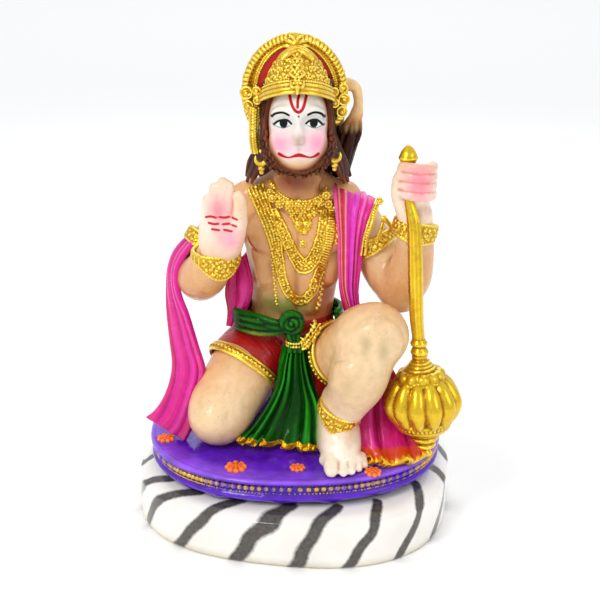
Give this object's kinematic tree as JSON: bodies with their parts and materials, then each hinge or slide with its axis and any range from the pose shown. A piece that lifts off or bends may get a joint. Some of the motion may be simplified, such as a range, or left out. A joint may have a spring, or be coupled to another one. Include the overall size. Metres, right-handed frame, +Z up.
{
  "type": "statuette",
  "caption": "Painted resin statuette of a kneeling, crowned monkey-god with a mace and a raised open hand, cast in one with an oval seat and glued to an oval striped plinth.",
  "frame": {"origin": "middle of the plinth's flat underside", "axes": "+Z up through the figure, which faces -Y; +X is the side of the mace (the figure's left hand)"},
  "size_m": [0.1324, 0.117, 0.1994],
  "materials": {
    "painted_resin": "hand-painted, satin varnish",
    "white_resin": "glossy white with grey brush stripes"
  },
  "bodies": {
    "root": {"figure": "painted_resin", "plinth": "white_resin"}
  },
  "joints": []
}
